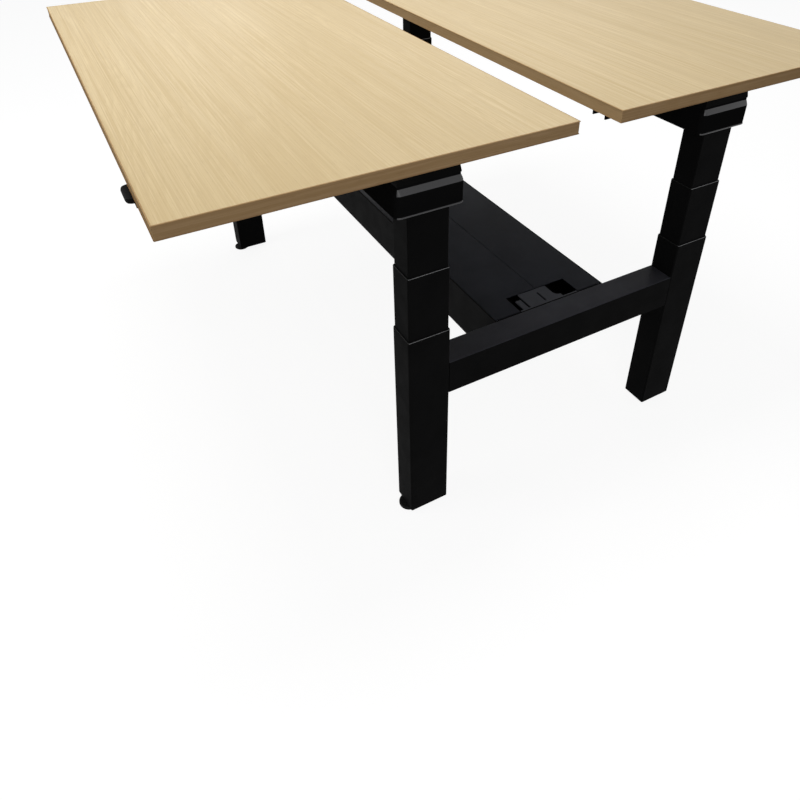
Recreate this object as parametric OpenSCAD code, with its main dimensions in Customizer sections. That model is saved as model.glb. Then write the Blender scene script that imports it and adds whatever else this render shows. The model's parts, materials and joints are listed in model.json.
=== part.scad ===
// Face-to-face sit-stand bench: two desktops on one shared H frame.
// X runs along the bench, Y from the front desktop to the rear one, Z up.
// The origin is on the floor, under the middle of the bench.

/* [Desktops] */
// Length of each desktop
top_l = 1480; // [1300:10:1800]
// Depth of each desktop
top_d = 800; // [700:10:960]
// Thickness of each desktop
top_t = 27; // [18:1:32]
// Gap between the two desktops
top_gap = 105; // [80:5:160]
// How far a desktop reaches past the frame at each end
top_over = 13; // [10:1:60]
// Thickness of the edge band
band_t = 2; // [1:0.5:3]

/* [Columns] */
// Outer tube, along the bench
tube_x = 70; // [58:1:84]
// Outer tube, across the bench
tube_y = 100; // [83:1:120]
// Tube wall
tube_wall = 1.5; // [1:0.1:1.8]
// Space between one tube and the next
stage_gap = 1; // [0.8:0.1:1.5]
// Corner radius of the outer tube
corner_r = 4; // [3.4:0.2:6]
// Length of the outer tube
outer_len = 529; // [500:1:640]
// How far the middle tube stands out when the desktop is all the way down
stage_shut = 6; // [4:1:20]
// Height of the lip on top of each tube
lip_h = 1.5; // [1:0.5:3]
// Travel down from the height drawn
lift_down = 300; // [200:10:360]
// Travel up from the height drawn
lift_up = 320; // [200:10:390]

/* [Frame] */
// Width of the frame over both legs
frame_w = 854; // [700:1:1020]
// Height of the crossbar section
bar_h = 88; // [60:1:110]
// Top of the crossbar above the floor
bar_top = 449; // [400:1:470]
// Crossbar wall
bar_wall = 2.5; // [2:0.1:4]

/* [Feet] */
// Height of the tube ends above the floor
foot_h = 12; // [10:1:20]
// Diameter of a glide
glide_d = 50; // [36:1:60]
// Distance from the tube's inner face to the glide's stem
glide_in = 10; // [8:0.5:13]
// Thread diameter of the glide's stem
stem_d = 10; // [8:1:12]

/* [Cable tray] */
// Width of the tray
tray_w = 322; // [260:2:388]
// Depth of the tray
tray_h = 120; // [90:1:150]
// Sheet thickness of the tray and its lids
sheet_t = 2; // [1.5:0.1:2.5]
// Gap between a lid and the crossbar
lid_gap = 4.5; // [3:0.5:8]
// Length of the cable notch in the lids
notch_l = 60; // [40:1:90]
// Width of the cable notch in the lids
notch_w = 174; // [120:1:210]

/* [Column head] */
// Length of the drive cover
cover_l = 160; // [133:1:200]
// Width of the drive cover
cover_w = 144; // [120:1:174]
// How far the drive cover hangs below the gear case
cover_drop = 16; // [13:1:20]
// Height of the cast gear case
case_h = 46; // [38:1:56]
// Wall of the drive cover
cover_wall = 2.5; // [2:0.1:3]
// Depth of the steel arms and rails under a desktop
arm_h = 19; // [16:1:25]
// Width of the steel arms and rails
arm_w = 40; // [30:1:48]

/* [Handset] */
// Width of the handset
handset_w = 74; // [62:1:90]
// How far the paddle sticks out in front of the desktop
paddle_out = 12; // [8:1:16]
// Distance from the desktop's end to the middle of the handset
handset_in = 200; // [150:5:300]

/* [Control box] */
// Length of the control box
box_l = 250; // [180:5:320]
// Depth of the control box
box_d = 104; // [80:2:140]
// Height of the control box
box_h = 36; // [28:1:45]

/* [Hidden] */
$fn = 48;
RIGHT = 1;
LEFT = -1;
FRONT = -1;
REAR = 1;
SIDES = [RIGHT, LEFT];

// Clearances
run_c = 0.1;      // running fit between a sliding or turning piece and its guide
seat_c = 0.3;     // gap at a face that turns against another
hole_c = 0.2;     // radial clearance of a screw in its hole
rest_c = 5;       // left between moving pieces when the desktop is all the way down

// Column positions and stage sizes
frame_l = top_l - 2*top_over;
col_x = frame_l/2 - tube_x/2;
col_y = frame_w/2 - tube_y/2;
step = tube_wall + stage_gap;
plate_t = 3;
base_t = 6;
boss_h = 21;
ring_t = 6;
outer_top = foot_h + outer_len;
middle_top = outer_top + lift_down/2 + stage_shut;
middle_bot = foot_h + base_t + boss_h + rest_c + lift_down/2;
inner_bot = middle_bot + ring_t + rest_c + lift_down/2;
flange_z = middle_top + lift_down/2 + rest_c;
head_z = flange_z + plate_t + case_h;
cover_h = case_h + cover_drop;
cover_z = head_z - cover_h;
top_under = head_z + plate_t + arm_h;

// Lift drive, one set in each column
screw_r = 5.5;
hollow_r = 9;
hollow_bore = screw_r + run_c;
post_r = 13;
carrier_bore = 14.5;
carrier_r = 16.5;
collar_r = 14;
nut_h = 25;
carrier_top = middle_top + 1;
hollow_bot = middle_bot + ring_t + rest_c;
post_top = hollow_bot + lift_up/2 + 40;
screw_bot = foot_h + base_t + lift_down + 62;
gear_r = 20;
gear_h = 13.7;
gear_z = flange_z + plate_t + 9;
worm_r = 5;
worm_y = gear_r + worm_r + 0.6;
worm_z = gear_z + gear_h/2;
motor_r = case_h/2;
case_x = tube_x/2 - 2.5;
case_y = 38;
case_shift = 8;

// Glides
boss_r = glide_in - 1;
glide_y = tube_y/2 - tube_wall - glide_in;

// Head, arms and rails, measured from the column's axis outward along X
cover_out = tube_x/2 + 5;
cover_r = 12;
cover_lean = 5;
shoulder_h = 22;
head_l = cover_l - 2*cover_lean - 1;
head_w = cover_w - 2*cover_lean - 1;
cap_w = head_w - 7;
cap_out = cover_out - 8;
arm_out = -17.5;
arm_short = 20;
arm_in_y = top_gap/2 + arm_short;
arm_front_y = top_gap/2 + top_d - arm_short;
rail_w = arm_w/2;
rail_y = cover_w/2 - 15;
rail_end = col_x + arm_out - arm_w;

// Crossbar, tray and lids
bar_in = frame_l/2 - tube_x;
bar_len = frame_w - 2*tube_y;
tray_bot = bar_top - tray_h;
lid_end = bar_in - lid_gap;
hinge_y = tray_w/2 - sheet_t - 6.5;
hinge_z = bar_top - 4;
lid_edge = hinge_y + 5;
seam = 1.5;
pin_r = 2;
lug_r = 3.5;
lug_x = lid_end - 6;
tray_bolt_r = 3;
tray_bolt_y = [17 - notch_w/2, notch_w/2 - 17];
tray_bolt_z = bar_top - 28;

// Slotted bracket that fills part of the notch
bracket_t = 3;
bracket_w = notch_w - 6;

// Handset
handset_x = handset_in - top_l/2;
handset_d = 62;
handset_h = 22;
handset_wall = 3;
cheek = 6;
paddle_w = handset_w - 2*cheek - 1;
paddle_t = 9;
pivot_in = 30;
pivot_r = 2;
edge_y = top_gap/2 + top_d;
pivot_z = top_under - handset_h/2;
handset_screw_x = handset_w/2 - 11;

// Control box, on the seated side of the columns
box_y = col_y + rail_y + rail_w + 20 + box_d/2;
ear_l = 12;

// Wood screws that hold the arms, the control box and the handset to a desktop
screw_len = 15;
wood_r = 2.2;
wood_head_r = 4.5;
wood_head_h = 2.5;
arm_screw_in = 20;
arm_screw_off = cover_w/2 + 25;
arm_screw_y = [arm_in_y + arm_screw_in, col_y - arm_screw_off,
    col_y + arm_screw_off, arm_front_y - arm_screw_in];
arm_screw_x = col_x + arm_out - arm_w/2;
WOOD_SCREWS = concat(
    [for (s = SIDES, y = arm_screw_y) [s*arm_screw_x, y]],
    [for (s = SIDES) [s*(box_l + ear_l)/2, box_y]],
    [for (s = SIDES) [handset_x + s*handset_screw_x, edge_y - handset_d + 11]]
);

// ---- Shared shapes ----

// Rectangle with round corners, centred
module round_rect(w, d, r) {
    square([w - 2*r, d], center = true);
    square([w, d - 2*r], center = true);
    for (sx = SIDES, sy = SIDES)
        translate([sx*(w/2 - r), sy*(d/2 - r)]) circle(r);
}

// Outline of a column stage: 0 is the outer tube, 1 the middle, 2 the inner
module stage_outline(stage, grow = 0) {
    inset = stage*step - grow;
    round_rect(tube_x - 2*inset, tube_y - 2*inset, corner_r - 0.2*inset);
}

// Wall between two outlines of a column
module stage_ring(outer_stage, outer_grow, inner_stage, inner_grow, z, h) {
    translate([0, 0, z]) linear_extrude(h) difference() {
        stage_outline(outer_stage, outer_grow);
        stage_outline(inner_stage, inner_grow);
    }
}

module pipe(r_out, r_in, z, h) {
    translate([0, 0, z]) linear_extrude(h) difference() {
        circle(r_out);
        circle(r_in);
    }
}

// Places a piece on a column. Its local +X and +Y point away from the bench's middle.
module on_column(side, row) {
    translate([side*col_x, row*col_y, 0])
        mirror([side < 0 ? 1 : 0, 0, 0])
        mirror([0, row < 0 ? 1 : 0, 0])
        children();
}

// Places a piece that is drawn for the rear desktop; the front one is the same, turned round
module on_row(row) {
    rotate([0, 0, row < 0 ? 180 : 0]) children();
}

// ---- Columns ----

module outer_tubes(row) {
    color("#1d1e20") for (side = SIDES) on_column(side, row)
        stage_ring(0, 0, 0, -tube_wall, foot_h, outer_len);
}

// Welded into the tube's foot, with the threaded boss of the glide
module base_plate() {
    stem_hole = stem_d/2 + run_c;
    difference() {
        union() {
            translate([0, 0, foot_h]) linear_extrude(base_t) stage_outline(0, -tube_wall);
            translate([0, glide_y, foot_h + base_t]) cylinder(r = boss_r, h = boss_h);
        }
        translate([0, glide_y, foot_h - 1]) cylinder(r = stem_hole, h = base_t + boss_h + 2);
    }
}

module base_plates() {
    color("#2a2b2d") for (side = SIDES, row = SIDES) on_column(side, row) base_plate();
}

module glide(side, row) {
    pad_h = 0.65*foot_h;
    color("#141414") on_column(side, row) translate([0, glide_y, 0]) {
        rotate_extrude() polygon([
            [0, 0], [glide_d/2 - 2, 0], [glide_d/2, 2], [glide_d/2, pad_h - 2],
            [glide_d/2 - 3, pad_h], [9, pad_h], [9, foot_h - seat_c], [stem_d/2, foot_h - seat_c],
            [stem_d/2, foot_h + base_t + boss_h + 2], [0, foot_h + base_t + boss_h + 2],
        ]);
    }
}

// Guide collar in the mouth of a tube, with the lip that shows on top
module mouth_guide(stage, top) {
    collar_h = 60;
    stage_ring(stage, -tube_wall, stage + 1, run_c, top - collar_h, collar_h);
    stage_ring(stage, -0.3, stage + 1, run_c, top, lip_h);
}

// Guide collar round the foot of a tube, sliding in the next larger one
module foot_guide(stage, bottom) {
    collar_h = 40;
    stage_ring(stage, stage_gap - run_c, stage, 0, bottom, collar_h);
}

module outer_guides() {
    color("#c9cacc") for (side = SIDES, row = SIDES) on_column(side, row)
        mouth_guide(0, outer_top);
}

module middle_tubes(row) {
    color("#1d1e20") for (side = SIDES) on_column(side, row)
        stage_ring(1, 0, 1, -tube_wall, middle_bot, middle_top - middle_bot);
}

module middle_guides(row) {
    color("#c9cacc") for (side = SIDES) on_column(side, row) {
        mouth_guide(1, middle_top);
        foot_guide(1, middle_bot);
    }
}

module inner_tubes(row) {
    color("#1d1e20") for (side = SIDES) on_column(side, row) {
        stage_ring(2, 0, 2, -tube_wall, inner_bot, flange_z - inner_bot);
        translate([0, 0, flange_z]) linear_extrude(plate_t) difference() {
            round_rect(2*case_x - 1, tube_y + 6, 4);
            circle(carrier_bore);
        }
    }
}

module inner_guides(row) {
    color("#c9cacc") for (side = SIDES) on_column(side, row)
        foot_guide(2, inner_bot);
}

// ---- Lift drive ----

// Post on the base plate with the fixed nut that lifts the middle tube
module lower_nuts() {
    post_bot = foot_h + base_t;
    color("#b9bbbe") for (side = SIDES, row = SIDES) on_column(side, row) {
        pipe(post_r, post_r - 2, post_bot, post_top - post_bot);
        pipe(post_r, hollow_r + run_c, post_top, nut_h);
    }
}

// Tube that stands in the middle tube and carries the upper nut
module nut_carriers(row) {
    collar_seat = carrier_top - nut_h;
    color("#b9bbbe") for (side = SIDES) on_column(side, row) {
        translate([0, 0, middle_bot]) linear_extrude(ring_t) difference() {
            stage_outline(1, -tube_wall);
            circle(carrier_bore);
        }
        pipe(carrier_r, carrier_bore, middle_bot + ring_t, carrier_top - middle_bot - ring_t);
        pipe(carrier_bore, hollow_bore, collar_seat, nut_h);
    }
}

// Turns with the lift screw, hangs from the upper nut and drives the middle tube
module hollow_screw(side, row) {
    screw_top = carrier_top - nut_h - seat_c;
    collar_h = 10;
    color("#8f9296") on_column(side, row) {
        pipe(hollow_r, hollow_bore, hollow_bot, screw_top - collar_h - hollow_bot);
        pipe(collar_r, hollow_bore, screw_top - collar_h, collar_h);
    }
}

// Lift screw with its worm wheel on top
module lift_screw(side, row) {
    wheel_bot = gear_z + seat_c;
    color("#a3a6aa") on_column(side, row) rotate_extrude() polygon([
        [0, screw_bot], [screw_r, screw_bot], [screw_r, wheel_bot], [gear_r, wheel_bot],
        [gear_r, wheel_bot + gear_h], [0, wheel_bot + gear_h],
    ]);
}

module gear_case() {
    case_bot = flange_z + plate_t;
    difference() {
        translate([-case_x, case_shift - case_y, case_bot])
            cube([2*case_x, 2*case_y, head_z - case_bot]);
        translate([0, 0, gear_z]) cylinder(r = gear_r + 2, h = head_z);
        translate([0, 0, case_bot - 1]) cylinder(r = screw_r + 1, h = head_z);
        translate([-case_x - 1, worm_y, worm_z]) rotate([0, 90, 0])
            cylinder(r = worm_r + 1, h = 2*case_x - 5);
    }
}

module gear_cases(row) {
    color("#8c8f93") for (side = SIDES) on_column(side, row) gear_case();
}

// Motor can with its worm shaft, lying beside the column
module motors(row) {
    can_l = cover_l - cover_out - case_x - 2*cover_wall - 4;
    color("#55585c") for (side = SIDES) on_column(side, row)
        translate([0, worm_y, worm_z]) rotate([0, -90, 0]) {
            translate([0, 0, case_x]) cylinder(r = motor_r, h = can_l);
            translate([0, 0, -case_x + 8]) cylinder(r = worm_r, h = 2*case_x - 8);
        }
}

// ---- Column head ----

// Outline of the drive cover, drawn in by a wall
module cover_outline(inset) {
    translate([cover_out - cover_l/2, 0])
        round_rect(cover_l - 2*inset, cover_w - 2*inset, cover_r - inset);
}

// Shell open at the top, with a bevelled shoulder and a hole for the column below
module drive_cover() {
    face_h = cover_h - shoulder_h;
    difference() {
        union() {
            translate([0, 0, cover_z]) linear_extrude(face_h) cover_outline(0);
            translate([0, 0, cover_z + face_h]) shoulder(0, shoulder_h);
        }
        translate([0, 0, cover_z + cover_wall]) linear_extrude(face_h - cover_wall)
            cover_outline(cover_wall);
        translate([0, 0, cover_z + face_h - 0.01]) shoulder(cover_wall, shoulder_h + 0.02);
        translate([0, 0, cover_z - 1]) linear_extrude(cover_wall + 2) stage_outline(0, 1);
    }
}

// Shoulder that leans in on all four sides
module shoulder(inset, h) {
    r = cover_r - inset;
    translate([cover_out - cover_l/2, 0, 0]) hull() {
        for (sx = SIDES, sy = SIDES)
            translate([sx*(cover_l/2 - inset - r), sy*(cover_w/2 - inset - r), 0])
                cylinder(r1 = r, r2 = r - cover_lean, h = h, $fn = 32);
    }
}

module drive_covers(row) {
    color("#26282a") for (side = SIDES) on_column(side, row) drive_cover();
}

// Steel plate on the gear case, with a cap that reaches up to the desktop
module column_head() {
    cap_l = cap_out - arm_out;
    translate([cover_out - cover_l/2 - head_l/2, -head_w/2, head_z]) cube([head_l, head_w, plate_t]);
    translate([arm_out, -cap_w/2, head_z + plate_t]) difference() {
        cube([cap_l, cap_w, arm_h]);
        translate([-1, plate_t, -1]) cube([cap_l - plate_t + 1, cap_w - 2*plate_t, arm_h - plate_t + 1]);
    }
}

module column_heads(row) {
    color("#1b1c1e") for (side = SIDES) on_column(side, row) column_head();
}

// Channel, open below, lying along Y
module channel(w, len) {
    difference() {
        cube([w, len, arm_h]);
        translate([plate_t, -1, -1]) cube([w - 2*plate_t, len + 2, arm_h - plate_t + 1]);
    }
}

module support_arms(row) {
    color("#1b1c1e") for (side = SIDES) on_column(side, row) difference() {
        translate([arm_out - arm_w, arm_in_y - col_y, top_under - arm_h])
            channel(arm_w, arm_front_y - arm_in_y);
        for (y = arm_screw_y)
            translate([arm_out - arm_w/2, y - col_y, top_under - plate_t - 1])
                cylinder(r = wood_r + hole_c, h = plate_t + 2);
    }
}

module cross_rails(row) {
    rail_l = 2*rail_end;
    color("#1b1c1e") on_row(row) for (s = SIDES)
        translate([-rail_end, col_y + s*rail_y + rail_w/2, top_under - arm_h])
            rotate([0, 0, -90]) channel(rail_w, rail_l);
}

// ---- Desktops ----

module desktop(row) {
    color("#dcc39a") on_row(row) difference() {
        translate([-top_l/2 + band_t, top_gap/2 + band_t, top_under])
            cube([top_l - 2*band_t, top_d - 2*band_t, top_t]);
        for (spot = WOOD_SCREWS)
            translate([spot.x, spot.y, top_under - 1]) cylinder(r = wood_r + hole_c, h = screw_len + 1);
    }
}

module edge_band(row) {
    color("#8d6a45") on_row(row) translate([0, top_gap/2 + top_d/2, top_under])
        linear_extrude(top_t) difference() {
            square([top_l, top_d], center = true);
            square([top_l - 2*band_t, top_d - 2*band_t], center = true);
        }
}

module desk_screws(row) {
    color("#9a9c9f") on_row(row) for (spot = WOOD_SCREWS)
        translate([spot.x, spot.y, top_under - plate_t - wood_head_h]) {
            cylinder(r = wood_head_r, h = wood_head_h);
            cylinder(r = wood_r, h = wood_head_h + plate_t + screw_len - 1);
        }
}

// Box with an ear at each end and a row of sockets along the side that faces the columns
module control_box(row) {
    sockets = 5;
    pitch = (box_l - 30)/sockets;
    color("#1a1b1c") on_row(row) translate([0, box_y, top_under]) difference() {
        union() {
            translate([0, 0, -box_h]) linear_extrude(box_h) round_rect(box_l, box_d, 6);
            translate([0, 0, -plate_t]) linear_extrude(plate_t) round_rect(box_l + 2*ear_l, 24, 5);
        }
        for (i = [0 : sockets - 1])
            translate([(i - (sockets - 1)/2)*pitch - 9, -box_d/2 - 1, -box_h/2 - 6]) cube([18, 11, 12]);
        for (s = SIDES)
            translate([s*(box_l + ear_l)/2, 0, -plate_t - 1]) cylinder(r = wood_r + hole_c, h = plate_t + 2);
    }
}

// ---- Handset ----

// Housing under the desktop's front edge, open at the front for the paddle
module handset(row) {
    color("#18191a") on_row(row)
        translate([handset_x, edge_y, top_under - handset_h]) difference() {
            translate([-handset_w/2, -handset_d, 0]) cube([handset_w, handset_d - 2, handset_h]);
            translate([-handset_w/2 + cheek, -pivot_in - 10, handset_wall])
                cube([handset_w - 2*cheek, pivot_in + 20, handset_h - 2*handset_wall]);
            translate([-handset_w/2 - 1, -pivot_in, handset_h/2]) rotate([0, 90, 0])
                cylinder(r = pivot_r + run_c, h = handset_w + 2);
            for (s = SIDES) translate([s*handset_screw_x, 11 - handset_d, -1]) {
                cylinder(r = wood_r + hole_c, h = handset_h + 2);
                cylinder(r = wood_head_r + 1, h = handset_h - plate_t + 1);
            }
        }
}

// Rocking paddle: up raises the desktop, down lowers it
module paddle(row) {
    nose_r = paddle_t/2;
    reach = pivot_in + paddle_out;
    plan_r = 14;
    pin_l = handset_w - 2;
    color("#101112") on_row(row) translate([handset_x, edge_y - pivot_in, pivot_z]) {
        intersection() {
            rotate([0, -90, 0]) translate([0, 0, -paddle_w/2]) linear_extrude(paddle_w) {
                circle(nose_r);
                translate([-nose_r, 0]) square([paddle_t, reach - nose_r]);
                translate([0, reach - nose_r]) circle(nose_r);
            }
            translate([0, reach/2 - plan_r, -paddle_t]) linear_extrude(2*paddle_t)
                round_rect(paddle_w, reach + 2*plan_r, plan_r);
        }
        translate([-pin_l/2, 0, 0]) rotate([0, 90, 0]) cylinder(r = pivot_r, h = pin_l);
    }
}

// ---- Frame ----

module crossbar(side) {
    bore_h = bar_wall + 2;
    color("#1d1e20") translate([side*col_x, 0, 0]) mirror([side < 0 ? 1 : 0, 0, 0]) difference() {
        translate([0, bar_len/2, bar_top - bar_h/2]) rotate([90, 0, 0]) linear_extrude(bar_len)
            difference() {
                round_rect(tube_x, bar_h, 3);
                round_rect(tube_x - 2*bar_wall, bar_h - 2*bar_wall, 1);
            }
        for (y = tray_bolt_y)
            translate([-tube_x/2 - 1, y, tray_bolt_z]) rotate([0, 90, 0])
                cylinder(r = tray_bolt_r + hole_c, h = bore_h);
    }
}

// ---- Cable tray ----

// Floor of the tray
module tray_floor() {
    color("#2b2d30") translate([-bar_in, sheet_t - tray_w/2, tray_bot])
        cube([2*bar_in, tray_w - 2*sheet_t, sheet_t]);
}

// End plates, which stand on the floor; they carry the bolts and the lids' pins
module tray_ends() {
    color("#2b2d30") for (side = SIDES) mirror([side < 0 ? 1 : 0, 0, 0]) difference() {
        translate([bar_in - sheet_t, sheet_t - tray_w/2, tray_bot + sheet_t])
            cube([sheet_t, tray_w - 2*sheet_t, tray_h - sheet_t]);
        for (y = tray_bolt_y)
            translate([bar_in - sheet_t - 1, y, tray_bolt_z]) rotate([0, 90, 0])
                cylinder(r = tray_bolt_r + hole_c, h = sheet_t + 2);
        for (row = SIDES)
            translate([bar_in - sheet_t - 1, row*hinge_y, hinge_z]) rotate([0, 90, 0])
                cylinder(r = pin_r + hole_c, h = sheet_t + 2);
    }
}

// Long sides, welded to the floor and the ends
module tray_sides() {
    color("#2b2d30") for (row = SIDES) on_row(row)
        translate([-bar_in, tray_w/2 - sheet_t, tray_bot]) cube([2*bar_in, sheet_t, tray_h]);
}

// Lid with its stiffening lip along the seam and a hinge lug at each end
module tray_lid(row) {
    lid_w = lid_edge - seam/2;
    lip_d = 12;
    lug_t = 3;
    color("#3a3d41") on_row(row) difference() {
        union() {
            translate([-lid_end, seam/2, bar_top - sheet_t]) cube([2*lid_end, lid_w, sheet_t]);
            translate([-lid_end + notch_l + 4, seam/2, bar_top - lip_d])
                cube([2*(lid_end - notch_l - 4), sheet_t, lip_d]);
            for (side = SIDES) {
                translate([side*lug_x - lug_t/2, hinge_y, hinge_z]) rotate([0, 90, 0])
                    cylinder(r = lug_r, h = lug_t);
                translate([side*lug_x - lug_t/2, hinge_y - lug_r, hinge_z])
                    cube([lug_t, 2*lug_r, bar_top - hinge_z - sheet_t/2]);
            }
        }
        for (side = SIDES) {
            translate([side*(lid_end - notch_l/2 + 1) - notch_l/2 - 1, -1, bar_top - sheet_t - 1])
                cube([notch_l + 2, notch_w/2 + 1, sheet_t + 2]);
            translate([side*lug_x - lug_t, hinge_y, hinge_z]) rotate([0, 90, 0])
                cylinder(r = pin_r + run_c, h = 2*lug_t);
        }
    }
}

// Angle bolted to the crossbar; its slotted fingers reach into the notch
module tray_bracket() {
    flange_h = 46;
    back = bar_in - sheet_t;
    difference() {
        union() {
            translate([back - bracket_t, -bracket_w/2, bar_top - flange_h])
                cube([bracket_t, bracket_w, flange_h - bracket_t]);
            translate([back, 0, bar_top - bracket_t]) linear_extrude(bracket_t) tongue();
        }
        for (y = tray_bolt_y)
            translate([back - bracket_t - 1, y, tray_bolt_z]) rotate([0, 90, 0])
                cylinder(r = tray_bolt_r + hole_c, h = bracket_t + 2);
    }
}

module tray_brackets() {
    color("#3a3d41") for (turn = [0, 180]) rotate([0, 0, turn]) tray_bracket();
}

// Outline of the fingers, reaching along -X from the crossbar
module tongue() {
    root = 4;
    reach = notch_l - 0.5;
    narrow_l = reach - 19.5;
    narrow_w = 15;
    narrow_y = 9 - bracket_w/2;
    wide_y = narrow_y + narrow_w + 6;
    flare_r = 14;
    flare_l = 2*flare_r;
    flare_y = bracket_w/2 - 42;
    slot_w = 5;
    difference() {
        union() {
            translate([-root, -bracket_w/2]) square([root, bracket_w]);
            translate([-narrow_l, narrow_y]) square([narrow_l, narrow_w]);
            translate([-reach, wide_y]) square([reach, flare_y - flare_r - wide_y]);
            translate([-flare_l, flare_y - flare_r - 1]) square([flare_l, flare_r + 1]);
        }
        translate([-reach + 13.5, -6]) round_slot(narrow_l - 2, slot_w);
        translate([-flare_l, flare_y]) circle(flare_r);
    }
}

// Slot from the origin along +X, with round ends
module round_slot(len, w) {
    translate([w/2, 0]) circle(w/2);
    translate([w/2, -w/2]) square([len - w, w]);
    translate([len - w/2, 0]) circle(w/2);
}

// Bolts of the tray and its brackets, and the pins that the lids turn on
module tray_fixings() {
    head_r = 5.5;
    head_h = 4;
    seat = bar_in - sheet_t - bracket_t;
    pin_l = bar_in - lug_x + 3;
    color("#9a9c9f") for (side = SIDES) mirror([side < 0 ? 1 : 0, 0, 0]) {
        for (y = tray_bolt_y) translate([seat, y, tray_bolt_z]) rotate([0, 90, 0]) {
            translate([0, 0, -head_h]) cylinder(r = head_r, h = head_h);
            cylinder(r = tray_bolt_r, h = sheet_t + bracket_t + bar_wall + 6);
        }
        for (row = SIDES) translate([bar_in - pin_l, row*hinge_y, hinge_z]) rotate([0, 90, 0])
            cylinder(r = pin_r, h = pin_l);
    }
}

// ---- Nodes ----

outer_tubes(FRONT);  // outer_tubes_front
outer_tubes(REAR);  // outer_tubes_rear
crossbar(RIGHT);  // crossbar_right
crossbar(LEFT);  // crossbar_left
base_plates();
outer_guides();
lower_nuts();
glide(RIGHT, FRONT);  // glide_front_right
glide(LEFT, FRONT);  // glide_front_left
glide(RIGHT, REAR);  // glide_rear_right
glide(LEFT, REAR);  // glide_rear_left
tray_floor();
tray_ends();
tray_sides();
tray_lid(FRONT);  // tray_lid_front
tray_lid(REAR);  // tray_lid_rear
tray_brackets();
tray_fixings();
middle_tubes(FRONT);  // middle_tubes_front
middle_tubes(REAR);  // middle_tubes_rear
middle_guides(FRONT);  // middle_guides_front
middle_guides(REAR);  // middle_guides_rear
nut_carriers(FRONT);  // nut_carriers_front
nut_carriers(REAR);  // nut_carriers_rear
hollow_screw(RIGHT, FRONT);  // hollow_screw_front_right
hollow_screw(LEFT, FRONT);  // hollow_screw_front_left
hollow_screw(RIGHT, REAR);  // hollow_screw_rear_right
hollow_screw(LEFT, REAR);  // hollow_screw_rear_left
lift_screw(RIGHT, FRONT);  // lift_screw_front_right
lift_screw(LEFT, FRONT);  // lift_screw_front_left
lift_screw(RIGHT, REAR);  // lift_screw_rear_right
lift_screw(LEFT, REAR);  // lift_screw_rear_left
inner_tubes(FRONT);  // inner_tubes_front
inner_tubes(REAR);  // inner_tubes_rear
inner_guides(FRONT);  // inner_guides_front
inner_guides(REAR);  // inner_guides_rear
gear_cases(FRONT);  // gear_cases_front
gear_cases(REAR);  // gear_cases_rear
motors(FRONT);  // motors_front
motors(REAR);  // motors_rear
drive_covers(FRONT);  // drive_covers_front
drive_covers(REAR);  // drive_covers_rear
column_heads(FRONT);  // column_heads_front
column_heads(REAR);  // column_heads_rear
support_arms(FRONT);  // support_arms_front
support_arms(REAR);  // support_arms_rear
cross_rails(FRONT);  // cross_rails_front
cross_rails(REAR);  // cross_rails_rear
desktop(FRONT);  // desktop_front
desktop(REAR);  // desktop_rear
edge_band(FRONT);  // edge_band_front
edge_band(REAR);  // edge_band_rear
desk_screws(FRONT);  // desk_screws_front
desk_screws(REAR);  // desk_screws_rear
control_box(FRONT);  // control_box_front
control_box(REAR);  // control_box_rear
handset(FRONT);  // handset_front
handset(REAR);  // handset_rear
paddle(FRONT);  // paddle_front
paddle(REAR);  // paddle_rear
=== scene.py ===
import json
import math

import bmesh
import bpy
from mathutils import Matrix, Vector


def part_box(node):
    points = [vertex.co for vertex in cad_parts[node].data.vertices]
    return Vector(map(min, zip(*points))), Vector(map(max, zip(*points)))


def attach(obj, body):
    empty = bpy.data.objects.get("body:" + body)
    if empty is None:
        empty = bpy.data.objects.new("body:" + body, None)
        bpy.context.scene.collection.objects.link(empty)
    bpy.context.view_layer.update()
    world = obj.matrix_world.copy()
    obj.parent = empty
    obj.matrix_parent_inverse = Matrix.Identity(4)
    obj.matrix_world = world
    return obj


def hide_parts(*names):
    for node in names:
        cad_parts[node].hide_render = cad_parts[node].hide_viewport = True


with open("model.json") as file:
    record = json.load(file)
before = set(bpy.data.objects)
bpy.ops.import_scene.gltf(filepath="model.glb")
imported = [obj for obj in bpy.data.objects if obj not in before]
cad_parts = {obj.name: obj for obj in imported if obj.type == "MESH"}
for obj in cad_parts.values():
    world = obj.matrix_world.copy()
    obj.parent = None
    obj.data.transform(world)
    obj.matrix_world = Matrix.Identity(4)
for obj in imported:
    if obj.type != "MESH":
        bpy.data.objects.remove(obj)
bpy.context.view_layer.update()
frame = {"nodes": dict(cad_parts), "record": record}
NODES = frame["nodes"]
ROWS = ("front", "rear")
SIDES = {"right": 1, "left": -1}
MM = 0.001


# ---- Camera ----

SENSOR = 36
LENS = 31.635
SHIFT = (-0.02775, -0.1615)
CAMERA_PLACE = (1.7007, -0.9351, 1.4656)
PITCH, YAW, ROLL = 0.5948, 0.5071, -0.0057


def make_camera():
    """Looks along the bench from its right-hand front end, from above."""
    forward = Vector((-math.cos(PITCH) * math.cos(YAW), math.cos(PITCH) * math.sin(YAW), -math.sin(PITCH)))
    right = Vector((math.sin(YAW), math.cos(YAW), 0))
    up = right.cross(forward)
    tilted_right = right * math.cos(ROLL) + up * math.sin(ROLL)
    tilted_up = up * math.cos(ROLL) - right * math.sin(ROLL)
    data = bpy.data.cameras.new("camera")
    data.sensor_width = SENSOR
    data.lens = LENS
    data.shift_x, data.shift_y = SHIFT
    data.clip_start, data.clip_end = 0.05, 60
    camera = bpy.data.objects.new("camera", data)
    axes = Matrix((tilted_right, tilted_up, -forward)).transposed().to_4x4()
    camera.matrix_world = Matrix.Translation(CAMERA_PLACE) @ axes
    bpy.context.scene.collection.objects.link(camera)
    bpy.context.scene.camera = camera


# ---- Material nodes ----

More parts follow.
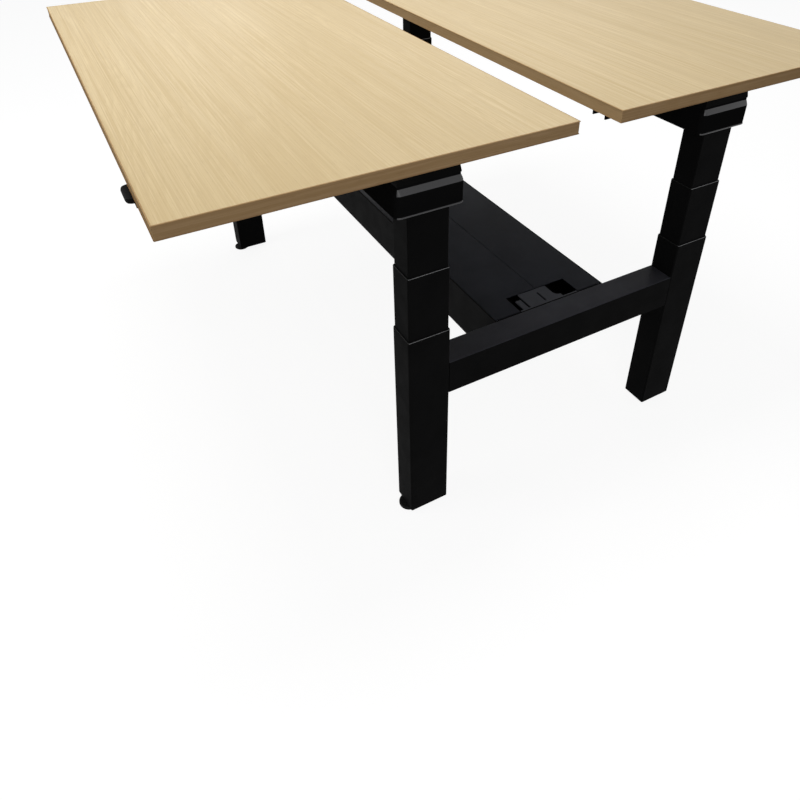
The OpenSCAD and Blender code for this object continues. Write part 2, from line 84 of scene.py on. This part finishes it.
def put(tree, socket, value):
    """Links an input to another node's output, or sets its value."""
    if isinstance(value, bpy.types.NodeSocket):
        tree.links.new(value, socket)
    else:
        socket.default_value = value


def tinted(colour, factors):
    """A colour with each channel times its own factor, or all of them times one."""
    if not hasattr(factors, "__len__"):
        factors = (factors,) * 3
    return [c * f for c, f in zip(colour, factors)]


class Material:
    """A node material with short calls for the nodes that it needs."""

    def __init__(self, name, colour, roughness, metallic=0.0, specular=0.5):
        self.material = bpy.data.materials.new(name)
        self.material.use_nodes = True
        self.tree = self.material.node_tree
        self.shader = self.tree.nodes["Principled BSDF"]
        self.set("Base Color", (*colour, 1))
        self.set("Roughness", roughness)
        self.set("Metallic", metallic)
        self.set("Specular IOR Level", specular)
        self.coords = self.tree.nodes.new("ShaderNodeTexCoord").outputs["Object"]

    def set(self, socket, value):
        put(self.tree, self.shader.inputs[socket], value)

    def scaled(self, scale, offset):
        node = self.tree.nodes.new("ShaderNodeMapping")
        node.inputs["Scale"].default_value = scale
        node.inputs["Location"].default_value = offset
        self.tree.links.new(self.coords, node.inputs["Vector"])
        return node.outputs["Vector"]

    def noise(self, scale, detail, roughness, offset=(0, 0, 0), distortion=0.0):
        if not hasattr(scale, "__len__"):
            scale = (scale,) * 3
        node = self.tree.nodes.new("ShaderNodeTexNoise")
        node.inputs["Scale"].default_value = 1
        node.inputs["Detail"].default_value = detail
        node.inputs["Roughness"].default_value = roughness
        node.inputs["Distortion"].default_value = distortion
        self.tree.links.new(self.scaled(scale, offset), node.inputs["Vector"])
        return node.outputs["Fac"]

    def math(self, operation, *values):
        node = self.tree.nodes.new("ShaderNodeMath")
        node.operation = operation
        for socket, value in zip(node.inputs, values):
            put(self.tree, socket, value)
        return node.outputs[0]

    def ramp(self, value, low, high, out_low=0.0, out_high=1.0):
        node = self.tree.nodes.new("ShaderNodeMapRange")
        node.interpolation_type = "SMOOTHSTEP"
        node.inputs["From Min"].default_value = low
        node.inputs["From Max"].default_value = high
        node.inputs["To Min"].default_value = out_low
        node.inputs["To Max"].default_value = out_high
        self.tree.links.new(value, node.inputs["Value"])
        return node.outputs["Result"]

    def mix(self, factor, first, second):
        """Blends two colours; each is a node's output or a list of red, green and blue."""
        node = self.tree.nodes.new("ShaderNodeMix")
        node.data_type = "RGBA"
        put(self.tree, next(s for s in node.inputs if s.name == "Factor" and s.type == "VALUE"), factor)
        for name, colour in (("A", first), ("B", second)):
            socket = next(s for s in node.inputs if s.name == name and s.type == "RGBA")
            put(self.tree, socket, colour if isinstance(colour, bpy.types.NodeSocket) else (*colour, 1))
        return next(s for s in node.outputs if s.type == "RGBA")

    def bump(self, height, distance):
        node = self.tree.nodes.new("ShaderNodeBump")
        node.inputs["Strength"].default_value = 1
        node.inputs["Distance"].default_value = distance
        self.tree.links.new(height, node.inputs["Height"])
        self.tree.links.new(node.outputs["Normal"], self.shader.inputs["Normal"])


# ---- Kinds of material ----

def powder_coat(name, colour, roughness, specular):
    """Fine-textured powder coat with faint handling marks."""
    coat = Material(name, colour, roughness, specular=specular)
    marks = coat.ramp(coat.noise(7, 4, 0.6), 0.35, 0.7)
    coat.set("Base Color", coat.mix(marks, tinted(colour, 0.88), tinted(colour, 1.12)))
    coat.set("Roughness", coat.ramp(coat.noise(18, 3, 0.6), 0.3, 0.7, roughness - 0.04, roughness + 0.05))
    coat.bump(coat.noise(1400, 2, 0.6), 0.04 * MM)
    return coat.material


def moulded(name, colour, roughness, specular, grain=2200, depth=0.03 * MM):
    """Moulded plastic with a fine spark-eroded grain."""
    plastic = Material(name, colour, roughness, specular=specular)
    cloud = plastic.noise(30, 3, 0.5)
    plastic.set("Base Color", plastic.mix(cloud, tinted(colour, 0.9), tinted(colour, 1.1)))
    plastic.set("Roughness", plastic.ramp(cloud, 0.3, 0.7, roughness - 0.03, roughness + 0.04))
    plastic.bump(plastic.noise(grain, 3, 0.6), depth)
    return plastic.material


def metal(name, colour, roughness, stretch=(60, 60, 900)):
    """Bare metal with turning or drawing lines."""
    steel = Material(name, colour, roughness, metallic=1.0)
    lines = steel.noise(stretch, 3, 0.6)
    steel.set("Base Color", steel.mix(lines, tinted(colour, 0.85), tinted(colour, 1.1)))
    steel.set("Roughness", steel.ramp(lines, 0.3, 0.7, roughness - 0.06, roughness + 0.1))
    steel.bump(lines, 0.02 * MM)
    return steel.material


def cast(name, colour, roughness):
    """Cast alloy with fine pits."""
    alloy = Material(name, colour, roughness, metallic=1.0)
    pits = alloy.noise(700, 4, 0.7)
    alloy.set("Base Color", alloy.mix(pits, tinted(colour, 0.8), colour))
    alloy.bump(pits, 0.15 * MM)
    return alloy.material


def oak(name, colour, along, sheen_roughness, specular):
    """Pale oak decor: fine streaks, soft growth bands and short pores, all along one axis (0 is X, 1 is Y)."""
    wood = Material(name, colour, sheen_roughness, specular=specular)
    ring_warp, rings_per_metre = 26, 30

    def stretched(length_scale, cross_scale):
        return tuple(length_scale if axis == along else cross_scale for axis in range(3))

    broad = wood.noise(stretched(0.55, 5.5), 3, 0.55, offset=(3.1, 0.7, 0.2), distortion=0.35)
    across = wood.tree.nodes.new("ShaderNodeSeparateXYZ")
    wood.tree.links.new(wood.coords, across.inputs["Vector"])
    position = wood.math("MULTIPLY", across.outputs[1 - along], rings_per_metre)
    ring = wood.math("FRACT", wood.math("ADD", wood.math("MULTIPLY", broad, ring_warp), position))
    ring = wood.math("MULTIPLY", wood.ramp(ring, 0.0, 0.8), wood.ramp(ring, 1.0, 0.82))
    streak = wood.noise(stretched(2.2, 190), 5, 0.65)
    grain = wood.noise(stretched(1.6, 420), 4, 0.7, offset=(1.3, 2.1, 0.4))
    fine = wood.noise(stretched(6.0, 900), 3, 0.6)
    pores = wood.ramp(wood.noise(stretched(26, 1500), 2, 0.5), 0.62, 0.74)
    pale = tinted(colour, (1.07, 1.07, 1.08))
    dark = tinted(colour, (0.86, 0.81, 0.72))
    tone = wood.mix(wood.ramp(broad, 0.3, 0.7), pale, tinted(colour, (0.95, 0.93, 0.88)))
    tone = wood.mix(wood.math("MULTIPLY", ring, 0.34), tone, dark)
    tone = wood.mix(wood.ramp(streak, 0.42, 0.7, out_high=0.62), tone, dark)
    tone = wood.mix(wood.ramp(grain, 0.44, 0.62, out_high=0.8), tone, dark)
    tone = wood.mix(wood.ramp(fine, 0.5, 0.8, out_high=0.35), tone, pale)
    tone = wood.mix(wood.math("MULTIPLY", pores, 0.7), tone, tinted(colour, (0.62, 0.52, 0.42)))
    wood.set("Base Color", tone)
    wood.set("Roughness", wood.ramp(streak, 0.3, 0.7, sheen_roughness - 0.04, sheen_roughness + 0.07))
    wood.bump(wood.math("SUBTRACT", wood.math("MULTIPLY", fine, 0.4), pores), 0.06 * MM)
    return wood.material


# ---- Materials ----

OAK_TOP = oak("oak_top", (0.725, 0.575, 0.328), 0, 0.42, 0.25)
# Edge band: the oak decor painted darker than the top on the long sides and darker again at the ends, painted
# shade on the upright faces.
OAK_EDGE_LONG_SHADED = oak("oak_edge_long_painted_shade", (0.62, 0.43, 0.235), 0, 0.55, 0.0)
OAK_EDGE_END_SHADED = oak("oak_edge_end_painted_shade", (0.55, 0.365, 0.195), 1, 0.55, 0.0)
FRAME_COAT = powder_coat("frame_coat", (0.0078, 0.0078, 0.0079), 0.6, 0.009)
# Crossbar tops: a paler, bluer copy of the frame coat, painted light falling on them from above.
BEAM_TOP_PAINTED_LIGHT = powder_coat("beam_top_painted_light", (0.043, 0.044, 0.053), 0.42, 0.07)
TRAY_COAT = powder_coat("tray_coat", (0.008, 0.008, 0.0082), 0.62, 0.02)
# Lid coat: a dark coat, made lighter and bluer than the tray's to stand in for the sky's sheen on the lids, so
# partly painted reflection.
LID_COAT_AND_SHEEN = powder_coat("lid_coat", (0.0195, 0.0215, 0.0285), 0.38, 0.07)
# Tray brackets: a much paler, bluer copy of the lids' coat, standing in for the light on them: painted light.
BRACKET_PAINTED_LIGHT = powder_coat("bracket_painted_light", (0.058, 0.061, 0.072), 0.42, 0.07)
GUIDE = moulded("guide_plastic", (0.012, 0.012, 0.0122), 0.45, 0.12)
# Painted highlight: a pale copy of the black guide plastic for the faces that look along the bench.
GUIDE_END_HIGHLIGHT = moulded("guide_end_painted_highlight", (0.22, 0.22, 0.23), 0.3, 0.6)
FOOT = moulded("foot_plastic", (0.009, 0.009, 0.009), 0.6, 0.1)
COVER = moulded("cover_plastic", (0.0085, 0.0085, 0.0088), 0.6, 0.0, grain=1300, depth=0.06 * MM)
# Painted sheen: a glossier, paler and bluer copy of the cover plastic, only for the bead and shoulder at the
# covers' ends.
COVER_PAINTED_SHEEN = moulded("cover_painted_sheen", (0.012, 0.012, 0.0145), 0.36, 0.58, grain=1300)
ELECTRONICS = moulded("electronics_plastic", (0.010, 0.010, 0.0105), 0.5, 0.1)
PADDLE = moulded("paddle_plastic", (0.009, 0.009, 0.0095), 0.5, 0.03)
STEEL = metal("steel", (0.50, 0.51, 0.53), 0.3)
MOTOR = metal("motor_can", (0.16, 0.165, 0.17), 0.4, stretch=(900, 60, 60))
ZINC = metal("zinc", (0.58, 0.58, 0.60), 0.32)
ALLOY = cast("cast_alloy", (0.40, 0.41, 0.43), 0.5)

FINISHES = {
    "frame_coat": FRAME_COAT, "tray_coat": TRAY_COAT, "lid_coat": LID_COAT_AND_SHEEN,
    "guide_plastic": GUIDE, "foot_plastic": FOOT, "cover_plastic": COVER,
    "electronics_plastic": ELECTRONICS, "paddle_plastic": PADDLE, "steel": STEEL, "motor_can": MOTOR,
    "zinc": ZINC, "cast_alloy": ALLOY, "laminate": OAK_TOP, "edge_strip": OAK_EDGE_LONG_SHADED,
}
# The tray brackets take the painted-light copy of the lid coat; base plates are shown coated.
FINISH_OF = {"tray_brackets": BRACKET_PAINTED_LIGHT, "base_plates": FRAME_COAT}
SLOT_OF = {part["node"]: part["material_slot"] for part in frame["record"]["subparts"]}
BODY_OF = {node: body for body, nodes in frame["record"]["behaviour"]["bodies"].items() for node in nodes}


def finish_of(node):
    """The material of a node's slot in the record, or its own one in FINISH_OF."""
    return FINISH_OF.get(node, FINISHES[SLOT_OF[node]])


def finish_nodes():
    for name in SLOT_OF:
        node = NODES[name]
        node.data.materials.clear()
        node.data.materials.append(finish_of(name))


# ---- Mesh helpers ----

NEAR = 0.01 * MM     # points nearer than this count as level
FACING = 0.6         # a face looks along an axis when its normal's share of it is above this


def new_object(name, mesh, body, materials):
    mesh.normal_update()
    data = bpy.data.meshes.new(name)
    mesh.to_mesh(data)
    mesh.free()
    piece = bpy.data.objects.new(name, data)
    bpy.context.scene.collection.objects.link(piece)
    for material in materials:
        data.materials.append(material)
    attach(piece, body)
    return piece


def smooth(piece, degrees):
    """Smooth shading, with edges sharper than the angle left sharp."""
    data = piece.data
    mesh = bmesh.new()
    mesh.from_mesh(data)
    for face in mesh.faces:
        face.smooth = True
    for edge in mesh.edges:
        edge.smooth = not (len(edge.link_faces) == 2 and edge.calc_face_angle() > math.radians(degrees))
    mesh.to_mesh(data)
    mesh.free()


def half_box(node, side):
    """Lowest and highest corners of the solids of a node on one side of the bench's middle."""
    points = [v.co for v in NODES[node].data.vertices if v.co.x * side > 0]
    low = Vector(min(p[i] for p in points) for i in range(3))
    high = Vector(max(p[i] for p in points) for i in range(3))
    return low, high


def outline(low, high, inset, z, radius, steps=6):
    """Points of a box's plan at one height, moved in by an inset, with round corners, anticlockwise."""
    x0, y0, x1, y1 = low.x + inset, low.y + inset, high.x - inset, high.y - inset
    centres = ((x1 - radius, y1 - radius), (x0 + radius, y1 - radius),
               (x0 + radius, y0 + radius), (x1 - radius, y0 + radius))
    points = []
    for quarter, (cx, cy) in enumerate(centres):
        for i in range(steps + 1):
            angle = math.pi / 2 * (quarter + i / steps)
            points.append((cx + radius * math.cos(angle), cy + radius * math.sin(angle), z))
    return points


def loft(mesh, rings, cyclic=False):
    """Skins rings of equal length, closed round into a tube or capped at both ends."""
    made = [[mesh.verts.new(p) for p in ring] for ring in rings]
    pairs = list(zip(made, made[1:])) + ([(made[-1], made[0])] if cyclic else [])
    for lower, upper in pairs:
        count = len(lower)
        for i in range(count):
            mesh.faces.new((lower[i], lower[(i + 1) % count], upper[(i + 1) % count], upper[i]))
    if not cyclic:
        mesh.faces.new(list(reversed(made[0])))
        mesh.faces.new(made[-1])
    return made


# ---- CAD pieces with eased edges ----

def eased(node, width, degrees=28, materials=None, pick=None, reshape=None):
    """Stands for a node with its sharp edges rounded, as folded sheet, castings and mouldings have them."""
    mesh = bmesh.new()
    mesh.from_mesh(NODES[node].data)
    if reshape:
        reshape(mesh)
    bmesh.ops.remove_doubles(mesh, verts=mesh.verts, dist=0.002 * MM)
    bmesh.ops.dissolve_limit(mesh, angle_limit=math.radians(0.4), verts=mesh.verts, edges=mesh.edges)
    sharp = [e for e in mesh.edges if len(e.link_faces) == 2 and e.calc_face_angle() > math.radians(degrees)]
    bmesh.ops.bevel(mesh, geom=sharp, offset=width, offset_type="OFFSET", segments=2, profile=0.5,
                    affect="EDGES", clamp_overlap=True)
    if pick:
        for face in mesh.faces:
            face.material_index = pick(face)
    piece = new_object(f"{node}_eased", mesh, BODY_OF[node], materials or [finish_of(node)])
    smooth(piece, 32)
    normals = piece.modifiers.new("normals", "WEIGHTED_NORMAL")
    normals.keep_sharp = True
    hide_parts(node)


def lean_cap(mesh):
    """Leans the outer walls of each column head's cap outwards, down to the edges of its plate."""
    plate_thickness = 3 * MM
    plate_top = min(v.co.z for v in mesh.verts) + plate_thickness
    top = max(v.co.z for v in mesh.verts)
    for side in SIDES.values():
        own = [v for v in mesh.verts if v.co.x * side > 0]
        cap = [v for v in own if v.co.z > top - NEAR]
        cap_x = max(v.co.x * side for v in cap)
        cap_y = (min(v.co.y for v in cap), max(v.co.y for v in cap))
        plate_x = max(v.co.x * side for v in own)
        plate_y = (min(v.co.y for v in own), max(v.co.y for v in own))
        inner_x = min(v.co.x * side for v in cap)
        for vert in own:
            if abs(vert.co.z - plate_top) > NEAR or vert.co.x * side < inner_x - NEAR:
                continue
            if abs(vert.co.x * side - cap_x) < NEAR:
                vert.co.x = plate_x * side
            for cap_side, plate_side in zip(cap_y, plate_y):
                if abs(vert.co.y - cap_side) < NEAR:
                    vert.co.y = plate_side


def column_heads(row):
    eased(f"column_heads_{row}", 0.4 * MM, degrees=12, reshape=lean_cap)


def guide(node):
    """Slide guides with a painted highlight: their faces that look along the bench get a much paler copy of
    the guide plastic.
    """
    eased(node, 0.3 * MM, materials=[GUIDE, GUIDE_END_HIGHLIGHT], pick=lambda face: int(abs(face.normal.x) > FACING))


def crossbar(side):
    """A crossbar whose top faces get a paler, bluer copy of the frame coat: painted light from above."""
    eased(f"crossbar_{side}", 0.6 * MM, materials=[FRAME_COAT, BEAM_TOP_PAINTED_LIGHT],
          pick=lambda face: int(face.normal.z > FACING))


# ---- Desktops ----

def edge_strip(row):
    """Edge band on all four sides of the board, with its top and bottom edges rounded.

    Known fault: the two roundings are joined at their inner ends, not along the outer face, so the section
    crosses itself and the outer face stands too far in. The reversal belongs to the lower rounding.
    """
    low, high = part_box(f"edge_band_{row}")
    band, ease, steps = 2.0 * MM, 1.2 * MM, 4
    corner, inner_corner = 2.0 * MM, 0.2 * MM
    end_zone, across = 3 * MM, 0.7
    arc = [math.pi / 2 * i / steps for i in range(steps + 1)]
    rounding = [(ease * (1 - math.cos(a)), ease * (1 - math.sin(a))) for a in arc]
    section = [(inset, low.z + rise) for inset, rise in rounding]
    section += [(inset, high.z - drop) for inset, drop in reversed(rounding)]
    rings = [outline(low, high, inset, z, corner) for inset, z in section]
    rings += [outline(low, high, band, z, inner_corner) for z in (high.z, low.z)]
    mesh = bmesh.new()
    loft(mesh, rings, cyclic=True)
    bmesh.ops.recalc_face_normals(mesh, faces=mesh.faces)
    # Faces at the ends take the darker end copy: painted shade.
    for face in mesh.faces:
        face.normal_update()
        x = face.calc_center_median().x
        at_end = min(abs(x - low.x), abs(x - high.x)) < end_zone
        face.material_index = int(at_end and abs(face.normal.y) < across)
    strip = new_object(f"edge_strip_{row}", mesh, f"desk_{row}", [OAK_EDGE_LONG_SHADED, OAK_EDGE_END_SHADED])
    smooth(strip, 35)
    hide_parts(f"edge_band_{row}")


def board(row):
    """Laminated board, a hairline clear of its edge band, with a small chamfer along its edges."""
    low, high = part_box(f"desktop_{row}")
    line, chamfer, corner = 0.15 * MM, 0.25 * MM, 0.2 * MM
    section = ((line + chamfer, low.z), (line, low.z + chamfer),
               (line, high.z - chamfer), (line + chamfer, high.z))
    mesh = bmesh.new()
    loft(mesh, [outline(low, high, inset, z, corner, steps=2) for inset, z in section])
    piece = new_object(f"board_{row}", mesh, f"desk_{row}", [OAK_TOP])
    smooth(piece, 20)
    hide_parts(f"desktop_{row}")


# ---- Drive covers ----

COVER_WALL = 2.5 * MM
COVER_CORNER = 12 * MM
LEAST_CORNER = 2 * MM
NECK_TAPER = 1.67      # above the shoulder a corner's radius shrinks this much faster than the wall moves in
NECK_IN, NECK_WALL = 6.0 * MM, 0.8 * MM
SHOULDER_HEIGHT = 46.5 * MM
LIP_IN, LIP_UP = 0.6 * MM, 0.9 * MM
SLOPE_HEIGHT = 10.0 * MM
MITRE_ANGLE = math.radians(46)


def cover_profile(mouth, top):
    """The wall's section as pairs of inset and height, and the two parts of it that get a painted sheen at the
    ends.
    """
    shoulder = mouth + SHOULDER_HEIGHT
    bead = [(COVER_WALL, mouth + 0.6 * MM), (1.2 * MM, mouth), (0.2 * MM, mouth + 0.3 * MM),
            (-0.7 * MM, mouth + 1.2 * MM), (-0.9 * MM, mouth + 2.1 * MM), (-0.6 * MM, mouth + 3.0 * MM),
            (0.0, mouth + 3.8 * MM)]
    side = [(0.0, mouth + 4.6 * MM), (0.0, mouth + 20 * MM), (0.0, shoulder - 0.6 * MM)]
    slope = [(0.15 * MM, shoulder), (LIP_IN, shoulder + LIP_UP)]
    slope += [(LIP_IN + (NECK_IN - 0.8 * MM) * t, shoulder + LIP_UP + SLOPE_HEIGHT * t ** 0.9)
              for t in (0.25, 0.5, 0.75, 1.0)]
    neck = [(NECK_IN, shoulder + 11.6 * MM), (NECK_IN, top)]
    inside = [(NECK_IN + NECK_WALL, top), (NECK_IN + NECK_WALL, shoulder + 9 * MM),
              (COVER_WALL, shoulder - COVER_WALL)]
    slope_from = len(bead) + len(side)
    end_sheen_painted = (slice(1, len(bead)), slice(slope_from - 1, slope_from + len(slope)))
    return bead + side + slope + neck + inside, end_sheen_painted


def drive_covers(row):
    """Moulded covers: a rolled bead round the mouth, upright sides, a shoulder and a short neck."""
    node = f"drive_covers_{row}"
    mesh = bmesh.new()
    end_sheen_painted = set()
    for side in SIDES.values():
        low, high = half_box(node, side)
        profile, end_sheen_painted_spans = cover_profile(low.z, high.z)
        rings, corners = [], []
        for inset, z in profile:
            taper = NECK_TAPER if z > low.z + SHOULDER_HEIGHT else 1.0
            corners.append(max(COVER_CORNER - inset * taper, LEAST_CORNER))
            rings.append(outline(low, high, inset, z, corners[-1], steps=8))
        made = loft(mesh, rings, cyclic=True)
        # The bead and shoulder faces at the ends take the painted sheen copy.
        for part in end_sheen_painted_spans:
            for ring, corner in zip(made[part], corners[part]):
                mitre = max(abs(v.co.x) for v in ring) - corner * (1 - math.cos(MITRE_ANGLE))
                end_sheen_painted.update(v for v in ring if abs(v.co.x) > mitre)
    for face in mesh.faces:
        face.material_index = int(all(v in end_sheen_painted for v in face.verts))
    bmesh.ops.recalc_face_normals(mesh, faces=mesh.faces)
    cover = new_object(f"drive_cover_shells_{row}", mesh, BODY_OF[node], [COVER, COVER_PAINTED_SHEEN])
    smooth(cover, 40)
    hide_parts(node)


# ---- Stage ----

LAMP_COLOUR = (1, 0.985, 0.96)


def seen_rays(tree):
    """1 for rays from the camera, and for reflections and refractions of the background."""
    path = tree.nodes.new("ShaderNodeLightPath")
    total = path.outputs["Is Camera Ray"]
    for name in ("Is Glossy Ray", "Is Transmission Ray"):
        node = tree.nodes.new("ShaderNodeMath")
        node.operation = "MAXIMUM"
        tree.links.new(total, node.inputs[0])
        tree.links.new(path.outputs[name], node.inputs[1])
        total = node.outputs[0]
    return total


def shader(tree, kind, **values):
    node = tree.nodes.new(kind)
    for name, value in values.items():
        node.inputs[name].default_value = value
    return node


def by_ray(tree, output_kind, light, seen):
    """Lights the object with one shader, and shows the other to the camera and in reflections."""
    output = tree.nodes.new(output_kind)
    mix = tree.nodes.new("ShaderNodeMixShader")
    tree.links.new(seen_rays(tree), mix.inputs[0])
    tree.links.new(light.outputs[0], mix.inputs[1])
    tree.links.new(seen.outputs[0], mix.inputs[2])
    tree.links.new(mix.outputs[0], output.inputs["Surface"])


def make_floor():
    """A wide disc that looks white and keeps the object's shadow."""
    mesh = bmesh.new()
    bmesh.ops.create_circle(mesh, cap_ends=True, segments=96, radius=18)
    data = bpy.data.meshes.new("floor")
    mesh.to_mesh(data)
    mesh.free()
    floor = bpy.data.objects.new("floor", data)
    bpy.context.scene.collection.objects.link(floor)
    material = bpy.data.materials.new("floor")
    material.use_nodes = True
    tree = material.node_tree
    tree.nodes.clear()
    bounce = shader(tree, "ShaderNodeBsdfDiffuse", Color=(0.35, 0.35, 0.35, 1))
    both = tree.nodes.new("ShaderNodeAddShader")
    tree.links.new(shader(tree, "ShaderNodeBsdfDiffuse", Color=(0.2, 0.2, 0.2, 1)).outputs[0], both.inputs[0])
    tree.links.new(shader(tree, "ShaderNodeEmission", Strength=0.9).outputs[0], both.inputs[1])
    by_ray(tree, "ShaderNodeOutputMaterial", bounce, both)
    data.materials.append(material)


def make_world():
    """A white backdrop that lights the object only weakly."""
    world = bpy.data.worlds.new("world")
    bpy.context.scene.world = world
    world.use_nodes = True
    tree = world.node_tree
    tree.nodes.clear()
    dim = shader(tree, "ShaderNodeBackground", Color=(0.94, 0.97, 1.0, 1), Strength=0.22)
    white = shader(tree, "ShaderNodeBackground", Color=(1, 1, 1, 1), Strength=1.0)
    by_ray(tree, "ShaderNodeOutputWorld", dim, white)


def lamp(name, place, aim, size, power):
    data = bpy.data.lights.new(name, "AREA")
    data.shape = "RECTANGLE"
    data.size, data.size_y = size
    data.energy = power
    data.color = LAMP_COLOUR
    light = bpy.data.objects.new(name, data)
    direction = Vector(aim) - Vector(place)
    light.matrix_world = Matrix.Translation(place) @ direction.to_track_quat("-Z", "Y").to_matrix().to_4x4()
    bpy.context.scene.collection.objects.link(light)


def make_lamps():
    lamp("overhead", (-0.3, -0.35, 3.6), (-0.25, -0.35, 0.9), (2.2, 1.3), 54)
    lamp("far_sheen", (-3.4, 2.4, 3.4), (0.0, -0.2, 0.9), (2.4, 1.6), 18)
    lamp("low_sheen", (-2.3, -0.1, 1.75), (0.3, -0.6, 0.95), (0.8, 0.9), 2.2)
    lamp("side_key", (2.9, -1.0, 1.9), (0.73, -0.3, 0.5), (1.2, 1.2), 11)
    lamp("front_fill", (-0.3, -3.4, 2.8), (0.0, 0.0, 0.9), (1.8, 1.4), 18)


# ---- Making ----

EASED_IN_ROW = {
    "outer_tubes": 0.5 * MM, "middle_tubes": 0.5 * MM, "inner_tubes": 0.5 * MM, "support_arms": 0.8 * MM,
    "cross_rails": 0.8 * MM, "tray_lid": 0.4 * MM, "control_box": 1.0 * MM, "handset": 0.8 * MM,
    "paddle": 0.8 * MM,
}
TRAY_EASE = 0.4 * MM

make_camera()
finish_nodes()
for row_name in ROWS:
    edge_strip(row_name)
    board(row_name)
    drive_covers(row_name)
    for name, width in EASED_IN_ROW.items():
        eased(f"{name}_{row_name}", width)
    guide(f"middle_guides_{row_name}")
    column_heads(row_name)
for side_name in SIDES:
    crossbar(side_name)
for name in ("tray_floor", "tray_ends", "tray_sides", "tray_brackets"):
    eased(name, TRAY_EASE)
guide("outer_guides")
make_floor()
make_world()
make_lamps()
bpy.context.scene.view_settings.view_transform = "Standard"
